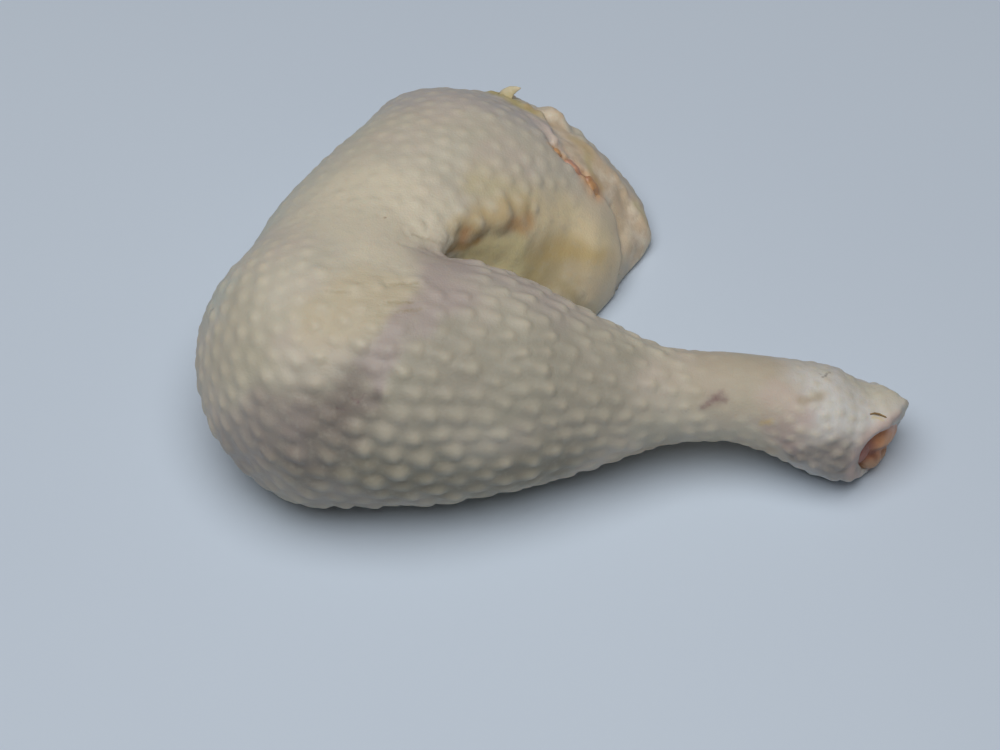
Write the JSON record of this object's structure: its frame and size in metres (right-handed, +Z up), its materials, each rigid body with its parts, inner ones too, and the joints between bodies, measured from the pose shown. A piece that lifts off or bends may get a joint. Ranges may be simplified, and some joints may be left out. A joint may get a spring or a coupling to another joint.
{
  "type": "raw capon leg",
  "caption": "Raw capon leg, thigh and drumstick in one piece with bumpy pale skin, bent at the knee and lying on its side, the shank bone showing in the cut hock.",
  "frame": {"origin": "on the surface that the leg lies on, under the middle of the leg's box", "axes": "+X along the drumstick towards the cut hock, +Y from the drumstick towards the hip end of the thigh, +Z up"},
  "size_m": [0.1924, 0.1496, 0.0648],
  "materials": {
    "skin": "moist, plucked",
    "bone": "moist cartilage"
  },
  "bodies": {
    "root": {"leg": "skin", "shank_bone": "bone"}
  },
  "joints": []
}
